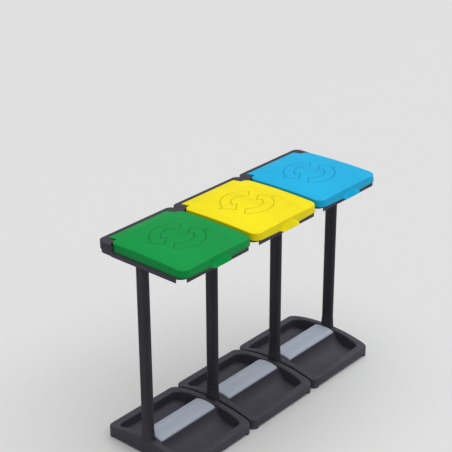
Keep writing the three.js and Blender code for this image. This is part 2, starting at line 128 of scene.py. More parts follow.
def sheet_inside(ring, shares, rows, height):
    """The inner points of a sheet that fills a ring, row by row."""
    index = sheet_index(len(shares) - 1, rows)
    left = ring[index[1:-1, 0], :2]
    right = ring[index[1:-1, -1], :2]
    t = np.asarray(shares)[1:-1]
    plan = left[:, None] + (right - left)[:, None] * t[None, :, None]
    x, y = plan[..., 0], plan[..., 1]
    return np.stack([x, y, height(x, y)], axis=-1).reshape(-1, 3)


def sheet_faces(index, ring_start, inside_start, up):
    """Quads over a sheet whose edge is a ring and whose inner points follow at inside_start."""
    places = index + ring_start
    rows, columns = places[1:-1, 1:-1].shape
    places[1:-1, 1:-1] = inside_start + np.arange(rows * columns).reshape(rows, columns)
    a, b = places[:-1, :-1], places[:-1, 1:]
    c, d = places[1:, 1:], places[1:, :-1]
    corners = (a, b, c, d) if up else (a, d, c, b)
    return np.stack(corners, axis=-1).reshape(-1, 4).tolist()


def wall_faces(count, rings, closed=False):
    """Quads through rings of equally many points, facing out where the rings go out and down."""
    faces = []
    for k in range(rings if closed else rings - 1):
        a, b = k * count, ((k + 1) % rings) * count
        for i in range(count):
            j = (i + 1) % count
            faces.append((a + i, b + i, b + j, a + j))
    return faces


def closed_sheet(rings, shares, rows, top, under):
    """A closed body: a sheet over the first ring, walls through the rings, a sheet under the last."""
    count = len(rings[0])
    index = sheet_index(len(shares) - 1, rows)
    upper = sheet_inside(rings[0], shares, rows, top)
    lower = sheet_inside(rings[-1], shares, rows, under)
    points = np.vstack([*rings, upper, lower])
    walls = count * len(rings)
    last = walls - count
    faces = wall_faces(count, len(rings))
    faces += sheet_faces(index, 0, walls, up=True)
    faces += sheet_faces(index, last, walls + len(upper), up=False)
    return points, faces


def lift(plan, height):
    """A ring in plan at a height, which is a number or one number for each point."""
    return np.column_stack([plan, np.broadcast_to(height, len(plan))])


def outward(plan):
    """The outward normals of a counter-clockwise ring in plan."""
    along = np.roll(plan, -1, axis=0) - np.roll(plan, 1, axis=0)
    along /= np.linalg.norm(along, axis=1)[:, None]
    return np.column_stack([along[:, 1], -along[:, 0]])


def inset(plan, distance, share=1.0):
    """A ring in plan, moved in by a distance, or by a share of it at each point."""
    return plan - outward(plan) * (distance * np.broadcast_to(share, len(plan)))[:, None]


def rounded_side(half_x, half_y, radius, ys, steps=8):
    """The right side of a rounded rectangle, with rows at the given places between its corners."""
    front = arc(half_x - radius, -half_y + radius, radius, -90, 0, steps)
    rear = arc(half_x - radius, half_y - radius, radius, 0, 90, steps)
    straight = np.column_stack([np.full(len(ys), half_x), ys])
    return np.vstack([front, straight, rear])


def oval(half_x, half_y, radius, steps=12):
    """A closed rounded rectangle in plan."""
    right = np.vstack([
        arc(half_x - radius, -half_y + radius, radius, -90, 0, steps),
        arc(half_x - radius, half_y - radius, radius, 0, 90, steps),
    ])
    return np.vstack([right, -right])


# ---------------------------------------------------------------- materials

def node_kit(name):
    material = bpy.data.materials.new(name)
    material.use_nodes = True
    tree = material.node_tree
    shader = tree.nodes["Principled BSDF"]
    return material, tree, shader


def add_node(tree, kind, inputs=None, **settings):
    node = tree.nodes.new(kind)
    for key, value in settings.items():
        setattr(node, key, value)
    for key, value in (inputs or {}).items():
        node.inputs[key].default_value = value
    return node


def noise(tree, place, scale, detail=3.0, roughness=0.55, stretch=None):
    """A noise value on the object's own coordinates, in metres."""
    source = place.outputs["Object"]
    if stretch is not None:
        mapping = add_node(tree, "ShaderNodeMapping", {"Scale": stretch})
        tree.links.new(source, mapping.inputs["Vector"])
        source = mapping.outputs["Vector"]
    made = add_node(
        tree, "ShaderNodeTexNoise", {"Scale": scale, "Detail": detail, "Roughness": roughness}
    )
    tree.links.new(source, made.inputs["Vector"])
    return made.outputs["Fac"]


def ramp(tree, value, low, high, out_low, out_high):
    made = add_node(
        tree,
        "ShaderNodeMapRange",
        {"From Min": low, "From Max": high, "To Min": out_low, "To Max": out_high},
    )
    tree.links.new(value, made.inputs["Value"])
    return made.outputs["Result"]


def blend_colour(tree, share, first, second):
    mix = add_node(tree, "ShaderNodeMix", data_type="RGBA")
    for socket, colour in ((mix.inputs[6], first), (mix.inputs[7], second)):
        if isinstance(colour, bpy.types.NodeSocket):
            tree.links.new(colour, socket)
        else:
            socket.default_value = (*colour, 1)
    tree.links.new(share, mix.inputs[0])
    return mix.outputs[2]


def times(tree, first, second):
    made = add_node(tree, "ShaderNodeMath", operation="MULTIPLY")
    tree.links.new(first, made.inputs[0])
    tree.links.new(second, made.inputs[1])
    return made.outputs[0]


def darkened(colour, share):
    return tuple(c * share for c in colour)


def worn_share(tree, place, geometry, wear):
    """How worn the plastic is: on its edges, in patches."""
    edge = ramp(tree, geometry.outputs["Pointiness"], 0.52, 0.6, 0, wear)
    patches = ramp(tree, noise(tree, place, 60, 5), 0.4, 0.65, 0.2, 1)
    return times(tree, edge, patches)


def dusty_share(tree, place, geometry, most):
    """How dusty the plastic is: where it faces up, in patches."""
    up = add_node(tree, "ShaderNodeSeparateXYZ")
    tree.links.new(geometry.outputs["Normal"], up.inputs[0])
    facing = ramp(tree, up.outputs["Z"], 0.75, 1.0, 0, most)
    patches = ramp(tree, noise(tree, place, 14, 6, 0.65), 0.35, 0.7, 0.25, 1)
    return times(tree, facing, patches)


# The point attribute that marks where the lids' sunk lines get painted shade.
GROOVE_SHADE = "groove_shade"
FLOW = (1, 0.35, 1)
STREAKS = (0.25, 10, 1)
DUST = (0.32, 0.31, 0.33)
GLOSS = 0.12
GRAIN_DEPTH = 0.4 * MM


def moulded_plastic(name, colour, worn, roughness, grain, bump, wear, dust=0, flow_marks=FLOW):
    """Injection-moulded plastic: a fine spark-eroded grain, faint flow marks in its colour, scuffs in its
    gloss, paler worn edges, painted shade in the lid's sunk lines where the mesh marks them, and a share
    of dust on what faces up."""
    material, tree, shader = node_kit(name)
    link = tree.links.new
    place = add_node(tree, "ShaderNodeTexCoord")
    geometry = add_node(tree, "ShaderNodeNewGeometry")
    groove_shade = add_node(tree, "ShaderNodeAttribute", attribute_name=GROOVE_SHADE)

    flow = ramp(tree, noise(tree, place, 9, 4, 0.6, flow_marks), 0.3, 0.7, 0, 1)
    base = blend_colour(tree, flow, darkened(colour, 0.86), colour)
    # Painted shade: the colour darkens to 0.45 of itself in the lid's sunk lines, which the mesh marks.
    base = blend_colour(tree, groove_shade.outputs["Fac"], base, darkened(colour, 0.45))
    base = blend_colour(tree, worn_share(tree, place, geometry, wear), base, worn)
    if dust > 0:
        base = blend_colour(tree, dusty_share(tree, place, geometry, dust), base, DUST)
    link(base, shader.inputs["Base Color"])

    scuff = noise(tree, place, 35, 5, 0.6, (1, 4, 1))
    link(ramp(tree, scuff, 0.35, 0.7, roughness - 0.06, roughness + 0.1), shader.inputs["Roughness"])
    shader.inputs["Specular IOR Level"].default_value = GLOSS

    relief = add_node(tree, "ShaderNodeBump", {"Strength": bump, "Distance": GRAIN_DEPTH})
    link(noise(tree, place, grain, 2, 0.5), relief.inputs["Height"])
    link(relief.outputs["Normal"], shader.inputs["Normal"])
    return material


def lid_plastic(name, colour, worn):
    return moulded_plastic(name, colour, worn, roughness=0.4, grain=1900, bump=0.1, wear=0.25)


def turned_steel(name):
    """Bright steel with fine turning marks, for pins that lie along x."""
    material, tree, shader = node_kit(name)
    link = tree.links.new
    place = add_node(tree, "ShaderNodeTexCoord")
    shader.inputs["Metallic"].default_value = 1.0
    tone = ramp(tree, noise(tree, place, 700, 4, 0.6, (8, 1, 1)), 0.3, 0.7, 0, 1)
    link(blend_colour(tree, tone, (0.42, 0.42, 0.44), (0.6, 0.6, 0.62)), shader.inputs["Base Color"])
    link(ramp(tree, tone, 0, 1, 0.25, 0.42), shader.inputs["Roughness"])
    return material


TRAY = moulded_plastic(
    "tray_plastic", (0.067, 0.064, 0.082), (0.16, 0.155, 0.18),
    roughness=0.5, grain=1500, bump=0.2, wear=0.4, dust=0.04,
)
BAR = moulded_plastic(
    "bar_plastic", (0.47, 0.515, 0.615), (0.7, 0.74, 0.8),
    roughness=0.45, grain=1800, bump=0.12, wear=0.3, dust=0.05, flow_marks=STREAKS,
)
POST = moulded_plastic(
    "post_plastic", (0.036, 0.033, 0.043), (0.1, 0.095, 0.11),
    roughness=0.42, grain=1800, bump=0.1, wear=0.3,
)
FRAME = moulded_plastic(
    "frame_plastic", (0.057, 0.053, 0.07), (0.11, 0.105, 0.125),
    roughness=0.45, grain=1600, bump=0.16, wear=0.1,
)
SLEEVE = moulded_plastic(
    "sleeve_plastic", (0.05, 0.047, 0.06), (0.12, 0.115, 0.13),
    roughness=0.45, grain=1600, bump=0.12, wear=0.3,
)
RING = moulded_plastic(
    "ring_plastic", (0.04, 0.038, 0.046), (0.1, 0.1, 0.11),
    roughness=0.5, grain=1600, bump=0.15, wear=0.4,
)
STEEL = turned_steel("turned_steel")
LIDS = {
    "left": lid_plastic("lid_green", (0.0, 0.31, 0.06), (0.06, 0.45, 0.17)),
    "middle": lid_plastic("lid_yellow", (0.95, 0.8, 0.005), (0.96, 0.85, 0.1)),
    "right": lid_plastic("lid_blue", (0.01, 0.46, 0.8), (0.1, 0.58, 0.86)),
}
LID_SLOTS = {"left": "lid_green", "middle": "lid_yellow", "right": "lid_blue"}


# ---------------------------------------------------------------- tray

TRAY_HALF = (191, 210)
TRAY_CORNER = 28
MOUTH_HALF = (163, 176)
MOUTH_CORNER = 24
FLOOR_HALF = (150, 170)
FLOOR_CORNER = 18
FLOOR_Z = 8
RIM_EDGE_Z = 45
RIM_CREST_Z = 70
WALL_FOOT_Z = 10
TRAY_SKIN = 4
HUMP_HALF = 50
HUMP_Z = 62
HUMP_REACH = 135
HUMP_CENTRE_Z = 70
FOOT_FROM = (161, 180)
RIM_RUN = 195
RIM_WIDTH = TRAY_HALF[0] - MOUTH_HALF[0]
WALL_RUN = MOUTH_HALF[0] - FLOOR_HALF[0]
TRAY_FILLET = 7
FILLET_TURN = 80
TRAY_LIP = 4
TRAY_EDGE = 5
SPREAD_FROM = 106


def mirrored(values):
    """Values below zero, zero and their mirror image, in rising order."""
    values = np.asarray(sorted(values))
    return np.concatenate([-values[::-1], [0], values])


def hump_height(y, skin=0.0):
    """The height of the basin floor and the hump, or of the face skin below it. The flanks are scooped."""
    run = HUMP_REACH - HUMP_HALF + skin
    rise = HUMP_CENTRE_Z - FLOOR_Z + skin
    away = np.clip((HUMP_REACH - np.abs(y)) / run, 0, 1)
    flank = HUMP_CENTRE_Z - rise * np.sqrt(1 - away**2)
    return np.minimum(flank, HUMP_Z - skin)


def tray_sides():
    """The right sides of the tray's outer wall, its mouth and its floor, point for point. The outer wall's
    rows spread towards its corners, because its straight is longer than the mouth's."""
    last = math.acos((HUMP_CENTRE_Z - HUMP_Z) / (HUMP_CENTRE_Z - FLOOR_Z))
    flank = HUMP_REACH - (HUMP_REACH - HUMP_HALF) * np.sin(np.linspace(0, last, 16))
    rows = mirrored([11, 22, 33, 44, *flank, 139, 143, 147, 150])
    straight = MOUTH_HALF[1] - MOUTH_CORNER
    longer = TRAY_HALF[1] - TRAY_CORNER - straight
    spread = longer * smooth((np.abs(rows) - SPREAD_FROM) / (straight - SPREAD_FROM))
    outer = rounded_side(*TRAY_HALF, TRAY_CORNER, rows + np.sign(rows) * spread)
    mouth = rounded_side(*MOUTH_HALF, MOUTH_CORNER, rows)
    floor = rounded_side(*FLOOR_HALF, FLOOR_CORNER, rows)
    return outer, mouth, floor


class TrayPlan:
    """The tray's outer wall, mouth and floor in plan, and the height of its arched rim."""

    def __init__(self, shares):
        self.outer, self.mouth, self.floor = (ring_of(side, shares) for side in tray_sides())
        along = np.minimum(1, np.abs(self.outer[:, 1]) / RIM_RUN)
        self.rim = RIM_CREST_Z - (RIM_CREST_Z - RIM_EDGE_Z) * along**2

    def out_of_mouth(self, distance, height):
        """The ring at a distance out of the mouth, on the rim."""
        share = distance / RIM_WIDTH
        return lift(self.mouth + (self.outer - self.mouth) * share, height)

    def into_mouth(self, distance, height, skin=0.0):
        """The ring at a distance into the mouth, on the basin's wall, and never below the hump."""
        plan = self.mouth + (self.floor - self.mouth) * (distance / WALL_RUN)
        return lift(plan, np.maximum(height, hump_height(plan[:, 1], skin)))


def basin_rings(tray):
    """Up from the basin's floor to the rim."""
    rings = []
    for angle in np.radians(np.linspace(0, FILLET_TURN, 6)):
        rise = TRAY_FILLET * (1 - math.cos(angle))
        rings.append(tray.into_mouth(WALL_RUN - TRAY_FILLET * math.sin(angle), FLOOR_Z + rise))
    fillet_top = FLOOR_Z + TRAY_FILLET * (1 - math.cos(math.radians(FILLET_TURN)))
    for t in (0.2, 0.4, 0.6, 0.8):
        height = fillet_top + (tray.rim - TRAY_LIP - fillet_top) * t
        rings.append(tray.into_mouth((WALL_RUN - TRAY_FILLET) * (1 - t), height))
    return rings


def rim_rings(tray):
    """Over the rim, between a round lip at the mouth and a round outer edge."""
    rings = []
    for angle in np.radians(np.linspace(0, 90, 5)):
        height = tray.rim - TRAY_LIP + TRAY_LIP * math.sin(angle)
        rings.append(tray.out_of_mouth(TRAY_LIP * (1 - math.cos(angle)), height))
    for t in (0.35, 0.65):
        distance = TRAY_LIP + (RIM_WIDTH - TRAY_LIP - TRAY_EDGE) * t
        rings.append(tray.out_of_mouth(distance, tray.rim + 0.5))
    for angle in np.radians(np.linspace(90, 0, 7)):
        height = tray.rim - TRAY_EDGE + TRAY_EDGE * math.sin(angle)
        rings.append(tray.out_of_mouth(RIM_WIDTH - TRAY_EDGE * (1 - math.cos(angle)), height))
    return rings


def outer_wall_rings(tray):
    """Down the outer wall to its lower edge, which meets the floor at the four corner feet."""
    top = tray.rim - TRAY_EDGE
    at_foot = (np.abs(tray.outer) > FOOT_FROM).all(axis=1)
    edge = np.where(at_foot, 0.0, WALL_FOOT_Z)
    rings = [lift(tray.outer, top * (1 - t) + (WALL_FOOT_Z + 2) * t) for t in (0.35, 0.7)]
    rings.append(lift(tray.outer, edge + 1.2))
    rings.append(lift(inset(tray.outer, 0.9), edge))
    rings.append(lift(inset(tray.outer, TRAY_SKIN), edge))
    return rings


def underside_rings(tray):
    """Up inside the outer wall, under the rim and down the back of the basin's wall."""
    inner = inset(tray.outer, TRAY_SKIN)
    return [
        lift(inner, WALL_FOOT_Z + 3.0),
        lift(inner, tray.rim - TRAY_EDGE),
        tray.out_of_mouth(RIM_WIDTH - TRAY_EDGE, tray.rim - TRAY_SKIN),
        tray.out_of_mouth(TRAY_LIP, tray.rim - TRAY_SKIN),
        tray.into_mouth(-TRAY_SKIN, tray.rim - TRAY_LIP - 2, TRAY_SKIN),
        tray.into_mouth(WALL_RUN - TRAY_FILLET - TRAY_SKIN, FLOOR_Z + 3, TRAY_SKIN),
        tray.into_mouth(WALL_RUN, FLOOR_Z - TRAY_SKIN, TRAY_SKIN),
    ]


def tray_mesh():
    """The tray's shell, with closer columns towards its corners."""
    shares = (1 + mirrored([0.15, 0.3, 0.45, 0.6, 0.75, 0.88, 0.955, 0.985, 1.0])) / 2
    tray = TrayPlan(shares)
    rings = basin_rings(tray) + rim_rings(tray) + outer_wall_rings(tray) + underside_rings(tray)
    return closed_sheet(
        rings, shares, len(tray_sides()[0]) - 1,
        lambda x, y: np.maximum(FLOOR_Z, hump_height(y)),
        lambda x, y: np.maximum(FLOOR_Z - TRAY_SKIN, hump_height(y, TRAY_SKIN)),
    )


# ---------------------------------------------------------------- cross bar

BAR_HALF = (155, 49.5)
BAR_CORNER = 8
BAR_BOTTOM_Z = 62.3
BAR_EDGE_Z = 68
BAR_CREST_Z = 77
BAR_END = 6
BAR_EDGE = 2


def bar_height(x, y):
    """The bar's crowned top, which rounds off at its two ends."""
    crown = BAR_CREST_Z - (BAR_CREST_Z - BAR_EDGE_Z) * (np.abs(y) / BAR_HALF[1]) ** 2.2
    t = np.clip((np.abs(x) - BAR_HALF[0] + BAR_END) / BAR_END, 0, 1)
    return crown - BAR_END * (1 - np.sqrt(1 - 0.9 * t**2))


def bar_mesh():
    rows = mirrored(np.linspace(3, 41, 13))
    side = rounded_side(*BAR_HALF, BAR_CORNER, rows, 6)
    shares = (1 + mirrored([0.17, 0.34, 0.51, 0.68, 0.83, 0.93, 0.955, 0.97, 0.985, 1.0])) / 2
    plan = ring_of(side, shares)
    rings = []
    for angle in np.radians(np.linspace(90, 0, 6)):
        inner = inset(plan, BAR_EDGE * (1 - math.cos(angle)))
        top = bar_height(inner[:, 0], inner[:, 1])
        rings.append(lift(inner, top - BAR_EDGE + BAR_EDGE * math.sin(angle)))
    rings.append(lift(plan, BAR_BOTTOM_Z + 0.45))
    rings.append(lift(plan, BAR_BOTTOM_Z))
    return closed_sheet(
        rings, shares, len(side) - 1, bar_height, lambda x, y: np.full_like(x, BAR_BOTTOM_Z)
    )


# ---------------------------------------------------------------- posts and sockets

POST_HALF = (16, 26)
POST_WALL = 3
POST_STEPS = 20
BORE_HALF = (16.2, 26.2)
BORE_CORNER = 16.1
SLEEVE_HALF = (18.5, 28.5)
SLEEVE_CORNER = 18.4
SLEEVE_TAPER = 1.6
TAPER_RUN = 30
BLOCK_HALF_Y = 29.7
BLOCK_EDGE = 7
FLARE_Z = (66, 78)
SOCKET_BOTTOM_Z = 36


def tube_mesh(rings):
    """A closed body of rings that run outside and back inside, so that the last joins the first."""
    return np.vstack(rings), wall_faces(len(rings[0]), len(rings), closed=True)


def post_mesh(bottom, top):
    half_x, half_y = POST_HALF
    bore_x, bore_y = half_x - POST_WALL, half_y - POST_WALL
    outer = oval(half_x, half_y, half_x, POST_STEPS)
    inner = oval(bore_x, bore_y, bore_x, POST_STEPS)
    rings = [
        lift(inner, top - 0.5),
        lift(inset(inner, -0.5), top),
        lift(inset(outer, 0.6), top),
        lift(outer, top - 0.6),
        *(lift(outer, bottom + (top - bottom) * t) for t in (0.75, 0.5, 0.25)),
        lift(outer, bottom),
        lift(inner, bottom),
    ]
    return tube_mesh(rings)


def socket_mesh(left, right, top):
    """From a block in the tray rims, through a short flare, to a tapered sleeve round the post."""
    block_half = (right - left) / 2
    shift = (right + left) / 2

    def section(share):
        """The plan between the block, at 0, and the sleeve, at 1."""
        half_x = between(block_half, SLEEVE_HALF[0], share)
        half_y = between(BLOCK_HALF_Y, SLEEVE_HALF[1], share)
        plan = oval(half_x, half_y, between(BLOCK_EDGE, SLEEVE_CORNER, share))
        return plan + [shift * (1 - share), 0]

    bore = oval(*BORE_HALF, BORE_CORNER)
    sleeve = section(1)
    rings = [
        lift(bore, top - 3),
        lift(bore, top - 0.6),
        lift(inset(bore, -0.4), top),
        lift(inset(sleeve, SLEEVE_TAPER), top - 0.5),
    ]
    for t in (0, 0.33, 0.67, 1):
        rings.append(lift(inset(sleeve, SLEEVE_TAPER * (1 - t)), top - 2 - TAPER_RUN * t))
    low, high = FLARE_Z
    for t in np.linspace(0, 1, 10):
        rings.append(lift(section(1 - t**2), between(high, low, math.sin(t * math.pi / 2))))
    rings += [lift(section(0), SOCKET_BOTTOM_Z), lift(bore, SOCKET_BOTTOM_Z)]
    return tube_mesh(rings)


# ---------------------------------------------------------------- frame

def prism_object(name, outline, low, high, lying=False):
    """A prism on a closed outline, as a loose object. It stands on an outline in plan, or lies along x on
    an outline in y and z."""
    count = len(outline)
    points = np.vstack([lift(outline, high), lift(outline, low)]) * MM
    if lying:
        points = points[:, [2, 0, 1]]
    faces = [tuple(range(count)), tuple(range(2 * count - 1, count - 1, -1))]
    faces += wall_faces(count, 2)
    mesh = bpy.data.meshes.new(name)
    mesh.from_pydata(points.tolist(), [], faces)
    obj = bpy.data.objects.new(name, mesh)
    bpy.context.scene.collection.objects.link(obj)
    return obj


def apply_modifiers(obj):
    """Makes the object's evaluated mesh its own."""
    bpy.context.view_layer.update()
    graph = bpy.context.evaluated_depsgraph_get()
    mesh = bpy.data.meshes.new_from_object(obj.evaluated_get(graph))
    obj.modifiers.clear()
    obj.data = mesh


def combine(base, others, operation="UNION"):
    """Joins the other objects to the base, or cuts them from it, and removes them."""
    for other in others:
        cut = base.modifiers.new("combine", "BOOLEAN")
        cut.operation = operation
        cut.solver = "EXACT"
        cut.object = other
        apply_modifiers(base)
        bpy.data.objects.remove(other)


FRAME_HALF = (194.6, 208.5)
FRAME_CORNER = 33
REAR_CORNER = 28
PLATE_Z = (817, 821)
SKIRT_Z = 801.5
SKIRT_WALL = 3.2
YOKE_TOP_Z = 847
RAIL_DEPTH = 14
BLOCK_INNER = 156
BLOCK_FRONT = 128
BLOCK_NOTCH = 152
MOUTH_FRONT = -168
MOUTH_REAR = 130
MOUTH_HALF_X = 150
MOUTH_ROUND = 40
COLLAR_Z = (808, 828)
COLLAR_WALL = 3
SKIRT_HALF = 164.5
SKIRT_FRONT = -181
BELOW_Z = 790
ABOVE_Z = 860
CHANNEL_TOP_Z = 843
CHANNEL_WALL = 3
CHAMFER = 11
HOLLOW_X = (178, 188.6)
HOLLOW_Y = (155, 180.5)
HOLLOW_TOP_Z = 844
FRAME_BEVEL = 1.2
RING_Z = (821.3, 831.5)
RING_WIDTH = 10
RING_ROUND = 3
RING_GAP = 4.5


def mouth_outline(grow, steps=12):
    """The liner's mouth in plan, grown on all sides."""
    middle_y = (MOUTH_FRONT + MOUTH_REAR) / 2
    half_y = (MOUTH_REAR - MOUTH_FRONT) / 2
    return oval(MOUTH_HALF_X + grow, half_y + grow, MOUTH_ROUND + grow, steps) + [0, middle_y]


def two_sided(right):
    """A closed outline out of its right half, from front to rear."""
    return np.vstack([right, right[::-1] * [-1, 1]])


def rear_corner(x, y):
    return arc(x - REAR_CORNER, y - REAR_CORNER, REAR_CORNER, 0, 90, 10)


def plate_outline():
    x, y = FRAME_HALF
    front = arc(x - FRAME_CORNER, -y + FRAME_CORNER, FRAME_CORNER, -90, 0, 12)
    return two_sided(np.vstack([front, rear_corner(x, y)]))


def yoke_outline(inset_by):
    """The raised rear part in plan: a rail between two corner blocks that curve round the lid."""
    x, y = FRAME_HALF[0] - inset_by, FRAME_HALF[1] - inset_by
    rail = FRAME_HALF[1] - RAIL_DEPTH + inset_by
    notch, inner = BLOCK_NOTCH + inset_by, BLOCK_INNER + inset_by
    curve_from = inner + 3
    curve = [
        (between(curve_from, x, math.sin(a)), between(BLOCK_FRONT, notch, math.cos(a)))
        for a in np.radians(np.linspace(0, 90, 13))
    ]
    return two_sided(np.vstack([[(inner, rail), (inner, notch + 3)], curve, rear_corner(x, y)]))


def rectangle(x0, x1, y0, y1):
    return np.array([(x0, y0), (x1, y0), (x1, y1), (x0, y1)], float)


def frame_parts():
    """What is joined to the frame's plate: the yoke, the collar round the mouth and the skirts."""
    x, y = FRAME_HALF
    skirts = (
        rectangle(-SKIRT_HALF, SKIRT_HALF, -y, -y + SKIRT_WALL),
        rectangle(-BLOCK_INNER - 1, BLOCK_INNER + 1, y - SKIRT_WALL, y),
        rectangle(x - SKIRT_WALL, x, SKIRT_FRONT, BLOCK_FRONT + 8),
        rectangle(-x, -x + SKIRT_WALL, SKIRT_FRONT, BLOCK_FRONT + 8),
    )
    return [
        prism_object("yoke", yoke_outline(0), PLATE_Z[0], YOKE_TOP_Z),
        prism_object("yoke_low", yoke_outline(3), SKIRT_Z, PLATE_Z[0] + 1),
        prism_object("collar", mouth_outline(COLLAR_WALL), *COLLAR_Z),
        *(prism_object("skirt", outline, SKIRT_Z, PLATE_Z[1] - 1) for outline in skirts),
    ]


def frame_cuts():
    """What is cut from the frame: its mouth, the rail's chamfer and the hollows under rail and blocks."""
    rail = FRAME_HALF[1] - RAIL_DEPTH
    front, rear = rail + CHANNEL_WALL, FRAME_HALF[1] - CHANNEL_WALL
    top = YOKE_TOP_Z + 4
    chamfer = np.array([(rail - 4, YOKE_TOP_Z - CHAMFER), (rail + CHAMFER, top), (rail - 4, top)], float)
    channel = np.array([
        (front, BELOW_Z), (rear, BELOW_Z), (rear, CHANNEL_TOP_Z),
        (front + 5, CHANNEL_TOP_Z), (front, CHANNEL_TOP_Z - 5),
    ], float)
    run = BLOCK_INNER - CHANNEL_WALL
    near, far = HOLLOW_X
    return [
        prism_object("mouth", mouth_outline(0), BELOW_Z, ABOVE_Z),
        prism_object("chamfer", chamfer, -BLOCK_INNER, BLOCK_INNER, lying=True),
        prism_object("channel", channel, -run, run, lying=True),
        prism_object("hollow", rectangle(near, far, *HOLLOW_Y), BELOW_Z, HOLLOW_TOP_Z),
        prism_object("hollow", rectangle(-far, -near, *HOLLOW_Y), BELOW_Z, HOLLOW_TOP_Z),
    ]


def frame_mesh():
    """The ring frame, joined and cut out of prisms, with all its edges softened."""
    plate = prism_object("plate", plate_outline(), *PLATE_Z)
    combine(plate, frame_parts())
    combine(plate, frame_cuts(), "DIFFERENCE")
    soften = plate.modifiers.new("soften", "BEVEL")
    soften.width = FRAME_BEVEL * MM
    soften.segments = 3
    soften.limit_method = "ANGLE"
    soften.angle_limit = math.radians(40)
    apply_modifiers(plate)
    mesh = plate.data
    bpy.data.objects.remove(plate)
    mesh.shade_smooth()
    mesh.set_sharp_from_angle(angle=CREASE)
    return mesh


def ring_mesh():
    """The bag ring: a band round the collar, with a round top and nearly sharp lower edges."""
    low, high = RING_Z
    corners = (
        (180, RING_ROUND, high - RING_ROUND, RING_ROUND),
        (90, RING_WIDTH - RING_ROUND, high - RING_ROUND, RING_ROUND),
        (0, RING_WIDTH - 1, low + 1, 1),
        (-90, 1, low + 1, 1),
    )
    profile = [point for start, *at in corners for point in arc(*at, start, start - 90, 4)]
    return tube_mesh([lift(mouth_outline(RING_GAP + across, 14), height) for across, height in profile])


# ---------------------------------------------------------------- lid

LID_HALF_X = 189.5
LID_FRONT = 219
LID_BOW = 4
LID_CORNER = 40
LID_HEM = 822
LID_SKIN = 3
CROWN_Z = 863
CROWN_Y = -10
CROWN_FALL = (8, 6)
CROWN_HALF = (185, 195)
ARROW_RADII = (62, 104)
ARROW_HEAD = 20
ARROW_TURNS = (25, 205)
LEAN = 2.5
EDGE = 5
SHOULDER_Y = 126
NOTCH_Y = 149
SHOULDER_X = 160
TONGUE_X = 153
HINGE_Y = 187
HINGE_Z = 841.5
BARREL = 6.5
GROOVE_DEPTH = 2.2
GROOVE_HALF = 2.8
LIP_HALF = 58
LIP_ARCH = 0.9
LIP_REACH = 14
LIP_DROP = 3.5
LIP_ENDS = 15
WALL_STEPS = 8


def crown_height(x, y):
    """The lid's outer surface, easing down to the hinge barrel at the rear."""
    across, along = x / CROWN_HALF[0], (y - CROWN_Y) / CROWN_HALF[1]
    height = CROWN_Z - CROWN_FALL[0] * across**2 - CROWN_FALL[1] * along**2
    ease = np.clip((y - SHOULDER_Y) / (HINGE_Y - SHOULDER_Y), 0, 1) ** 2
    return height + (HINGE_Z + BARREL - height) * ease


def arrow_outline(turn):
    """One of two broad arrows that circle round a point, as a closed outline."""
    inner, outer = ARROW_RADII
    start, end, tip = (math.radians(turn + angle) for angle in (10, 132, 164))
    angles = np.linspace(start, end, 15)
    barb = [
        (outer + ARROW_HEAD, end),
        ((inner + outer) / 2, tip),
        (inner - ARROW_HEAD, end),
    ]
    path = [(outer, a) for a in angles] + barb + [(inner, a) for a in angles[::-1]]
    return np.array([(radius * math.cos(a), radius * math.sin(a)) for radius, a in path])


def distance_to(outline, x, y):
    """The distance in plan from points to a closed outline."""
    nearest = np.full(x.shape, 1e9)
    for (ax, ay), (bx, by) in zip(outline, np.roll(outline, -1, axis=0)):
        dx, dy = bx - ax, by - ay
        along = np.clip(((x - ax) * dx + (y - ay) * dy) / (dx * dx + dy * dy), 0, 1)
        nearest = np.minimum(nearest, np.hypot(x - ax - along * dx, y - ay - along * dy))
    return nearest


def groove_depth(x, y):
    """The sunk outlines of the two circling arrows in the middle of the lid."""
    arrows = [arrow_outline(turn) for turn in ARROW_TURNS]
    nearest = np.minimum(*(distance_to(arrow, x, y - CROWN_Y) for arrow in arrows))
    return GROOVE_DEPTH * smooth(1 - nearest / GROOVE_HALF)


def paint_groove_shade(mesh, points):
    """Marks the sunk outlines in a lid's upper face, where its material paints shade into them."""
    x, y, z = points.T
    sunk = groove_depth(x, y)
    upper = z > crown_height(x, y) - 0.9 * LID_SKIN
    marks = mesh.attributes.new(GROOVE_SHADE, "FLOAT", "POINT")
    marks.data.foreach_set("value", np.where(upper, sunk / GROOVE_DEPTH, 0))


def lid_side():
    """The right side of the lid's outline: front corner, side, shoulder, notch and tongue. The side has a
    row every 2 mm, for the sunk arrows."""
    front = LID_BOW - LID_FRONT
    side_rows = np.concatenate([np.linspace(-162, -144, 4), np.arange(-140, 119, 2.0), [122]])
    shoulder = [
        (between(SHOULDER_X, LID_HALF_X, math.cos(a)), between(SHOULDER_Y, NOTCH_Y, math.sin(a)))
        for a in np.radians(np.linspace(0, 88, 12))
    ]
    return np.vstack([
        arc(LID_HALF_X - LID_CORNER, front + LID_CORNER, LID_CORNER, -90, 0, 16),
        np.column_stack([np.full(len(side_rows), LID_HALF_X), side_rows]),
        shoulder,
        arc(TONGUE_X + 2, NOTCH_Y + 2, 2, -85, -180, 5),
        [(TONGUE_X, y) for y in np.linspace(NOTCH_Y + 6, HINGE_Y - 4, 6)],
        arc(TONGUE_X - 3, HINGE_Y - 3, 3, 0, 86, 4),
    ])


def lid_outline(shares):
    """The lid's outline, its front edge bowed forward between the corners."""
    plan = ring_of(lid_side(), shares)
    across = plan[:, 0] / (LID_HALF_X - LID_CORNER)
    front = (plan[:, 1] < -150) & (np.abs(across) < 1)
    plan[:, 1] -= np.where(front, LID_BOW * (1 - across**2), 0)
    return plan


def lip_shares(plan):
    """How high the thumb lip's arch stands over the hem, and how far its lower edge reaches forward, both
    from 0 to 1. The arch is round, and the lower edge keeps its reach nearly to its two ends."""
    x = np.where(plan[:, 1] < -150, np.abs(plan[:, 0]), LIP_HALF)
    return np.clip(1 - (x / LIP_HALF) ** 2, 0, 1), smooth((LIP_HALF - x) / LIP_ENDS)


